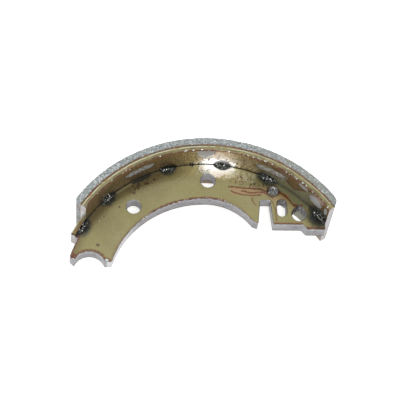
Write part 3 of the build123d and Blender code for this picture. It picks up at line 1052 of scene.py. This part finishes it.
def make_spatter(material):
    """Weld spatter: drops strewn over the web's and the table's faces near the beads."""
    rng = np.random.default_rng(11)
    skins = []
    for side, (weld_angle, _, _), _ in product((1, -1), weld_spots, range(spatter_per_weld)):
        size = rng.uniform(0.16, 0.42)
        out = rng.uniform(3.5, 9.0)
        along = np.clip(rng.normal(0, 6.5), -12, 12)
        on_web = rng.random() < 0.6
        angle = weld_angle + np.degrees(along / table_face_radius)
        if abs(angle) > shoe_end - 1:
            continue
        drop = spatter_drop(side, angle, out, size, on_web)
        skins.append((drop, tube_faces(*drop.shape[:2], turned_over=(side < 0) == on_web)))
    return finish_mesh("weld_spatter", *join_skins(skins), material, "weld_metal")


# ---------------------------------------------------------------- lining
grain_depth = 0.1
chip_depth = 0.55
chip_reach = 1.6
edge_ease = 0.35
bevel_softness = 1.65
key_back_radius = 95.6
key_grain_depth = 0.22

# Length of the working face, a little over its arc, and the reach at each end followed in fine steps
face_run = 196.2
fine_reach = 4
fine_steps = 4000


def lining_outline(rows):
    """Angle and radius along the working face, from bevel to bevel, in even steps of its length.

    The face is the lower of the drum's circle and a steep plane at each end, joined by a soft minimum.
    """
    from_start = np.concatenate([
        np.linspace(0, fine_reach, fine_steps),
        np.linspace(fine_reach, face_run - fine_reach, fine_steps)[1:-1],
        np.linspace(face_run - fine_reach, face_run, fine_steps),
    ])
    from_end = np.clip(2 * np.radians(shoe_end) * drum_radius - from_start, 0, None)
    depth = drum_radius - lining_back_radius
    slopes = np.array([depth / anchor_end_bevel * from_start, depth / actuator_end_bevel * from_end])
    beyond = np.minimum((depth - slopes) / bevel_softness, 50)
    levels = depth - bevel_softness * np.log1p(np.exp(beyond))
    radius = lining_back_radius + np.clip(levels.min(axis=0), 0.02, depth)
    angle = np.clip(-shoe_end + np.degrees(from_start / drum_radius), -shoe_end, shoe_end)
    step = np.hypot(np.diff(from_start), np.diff(radius))
    travelled = np.concatenate(([0], np.cumsum(step)))
    even = np.linspace(0, travelled[-1], rows)
    return np.interp(even, travelled, angle), np.interp(even, travelled, radius)


def lining_skin():
    """Closed skin of the moulded segment, grains and chips in it.

    Rings lie across the width: up the +Z side, over the working face, down the -Z side and back along
    the bonded face. Grains are noise that only sinks in, and chips are rare deep noise near the two long
    edges.
    """
    rows, side, face, back = 470, 12, 116, 6
    angle, outer = (values[:, None] for values in lining_outline(rows))
    up_side = np.linspace(0, 1, side)
    over_face = np.linspace(1, -1, face)[1:-1]
    over_back = np.linspace(-1, 1, back)[1:-1]
    lift = np.concatenate((up_side, np.ones(face - 2), up_side[::-1], np.zeros(back - 2)))[None, :]
    across = np.concatenate((np.ones(side), over_face, -np.ones(side), over_back))[None, :]
    radius = lining_back_radius + lift * (outer - lining_back_radius)
    height = across * half_width + 0 * radius
    place = on_arc(radius, angle, height)
    grains = 0.5 + layered_noise(place + noise_start, (0.35, 1.1, 3), (0.25, 0.55, 4))
    near_side = np.clip(1 - (half_width - np.abs(height)) / chip_reach, 0, 1)
    near_edge = near_side * np.clip(1 - (drum_radius - radius) / chip_reach, 0, 1)
    chips = np.clip(lattice_noise(place + noise_start, 1.7, 5) - 0.25, 0, 1) * near_edge
    sink = grain_depth * np.clip(grains, 0, 1) + chip_depth * chips + edge_ease * near_edge**3
    thick = np.clip((outer - lining_back_radius) / 1.0, 0, 1)
    on_face = lift > 0.999
    on_side = np.abs(across) > 0.999
    radius = radius - np.where(on_face, sink, 0) * thick
    height = height - np.sign(height) * np.where(on_side & (lift > 0.001), sink, 0)
    return on_arc(radius, angle, height)


def key_skin(angle, height, seed):
    """Closed block that fills one window: a slot outline with its face on the lining's key circle.

    Rings shrink from the outline to a sliver on the face, go down the walls and close at the back.
    """
    face_rings, wall_rings, columns = 22, 5, 88
    turn = np.linspace(0, 2 * np.pi, columns, endpoint=False)[None, :]
    half_run = (key_length - key_width) / 2
    outline_x = key_width / 2 * np.cos(turn) + half_run * np.tanh(6 * np.cos(turn))
    outline_y = key_width / 2 * np.sin(turn)
    shrink = np.concatenate((np.linspace(0.02, 1, face_rings), np.ones(wall_rings)))[:, None]
    down = np.concatenate((np.zeros(face_rings), np.linspace(0.2, 1, wall_rings)))[:, None]
    along, over = outline_x * shrink, outline_y * shrink
    face = np.sqrt(key_face_radius**2 - along**2)
    level = face + (key_back_radius - face) * down
    east, north = np.sin(radians(angle)), np.cos(radians(angle))
    outward = np.array([east, north, 0])
    x = level * east + along * north
    y = level * north - along * east
    place = np.stack((x, y, over + height), -1)
    grains = 0.5 + layered_noise(place + noise_start, (0.4, 1.2, seed), (0.3, 0.6, seed + 1))
    sunk = np.where(down == 0, key_grain_depth * np.clip(grains, 0, 1.2), 0)
    return place + sunk[..., None] * outward


def make_lining(material):
    """Segment and its four keys as one mesh."""
    segment = lining_skin()
    skins = [(segment, tube_faces(*segment.shape[:2], turned_over=True))]
    for index, (side, angle) in enumerate(product((1, -1), window_angles)):
        key = key_skin(angle, side * window_height, 20 + 2 * index)
        skins.append((key, tube_faces(*key.shape[:2])))
    return finish_mesh("lining_segment", *join_skins(skins), material, "friction_lining", "lining")


# ---------------------------------------------------------------- adhesive pressed out of the bond
seep_radius = 0.22


def make_glue_seep(material):
    """Adhesive squeezed out into the groove between table and lining, along both long edges.

    A ring of points round the groove's middle follows the arc. Its radius is a mean plus noise, so the
    seam swells and thins out, and it is kept inside the shoe's width.
    """
    rows, columns = 420, 10
    angle = np.linspace(-shoe_end + 0.2, shoe_end - 0.2, rows)[:, None]
    turn = np.linspace(0, 2 * np.pi, columns, endpoint=False)[None, :]
    skins = []
    for side in (1, -1):
        middle = on_arc(table_back_radius, angle, side * half_width)
        size = seep_radius + layered_noise(middle + noise_start, (0.34, 3.8, 31), (0.14, 1.2, 32))
        size = np.clip(size, 0.05, 0.6)
        radius = table_back_radius - 0.12 + size * np.cos(turn)
        height = half_width - 0.3 + 0.8 * size * np.sin(turn)
        seam = on_arc(radius, angle, side * np.minimum(height, half_width))
        skins.append((seam, tube_faces(rows, columns, turned_over=side < 0)))
    return finish_mesh("glue_seep", *join_skins(skins), material, "adhesive")


# ---------------------------------------------------------------- the scene
floor_half = 6
key_offset = Vector((-1.3, 0.1, 1.15))
key_size = 1.0
key_power = 10.5
flash_offset = Vector((0.076, 0, 0))
flash_size = 0.16
flash_power = 4.0


def make_floor():
    """Square floor under the shoe's resting edges."""
    low, high = -floor_half, floor_half
    corners = [(x, y, floor_height) for x, y in ((low, low), (high, low), (high, high), (low, high))]
    mesh = bpy.data.meshes.new("floor")
    mesh.from_pydata(corners, [], [(0, 1, 2, 3)])
    mesh.materials.append(make_floor_white())
    floor = bpy.data.objects.new("floor", mesh)
    bpy.context.scene.collection.objects.link(floor)
    return floor


camera_place = place_camera()
light_world()
area_light("key", camera_target + key_offset, camera_target, key_size, key_power)
area_light("flash", camera_place + flash_offset, camera_target, flash_size, flash_power)
floor = make_floor()

finishes = {
    "web": make_web_lacquer(),
    "table": make_table_lacquer(),
    "lining": make_friction_lining(),
    "bond_film": make_adhesive(),
    "welds": make_weld_metal(),
}
for node, finish in finishes.items():
    mesh = frame["nodes"][node].data
    mesh.materials.clear()
    mesh.materials.append(finish)

make_weld_beads(finishes["welds"])
make_spatter(finishes["welds"])
make_lining(finishes["lining"])
make_glue_seep(finishes["bond_film"])

bpy.context.scene.view_settings.view_transform = "Standard"
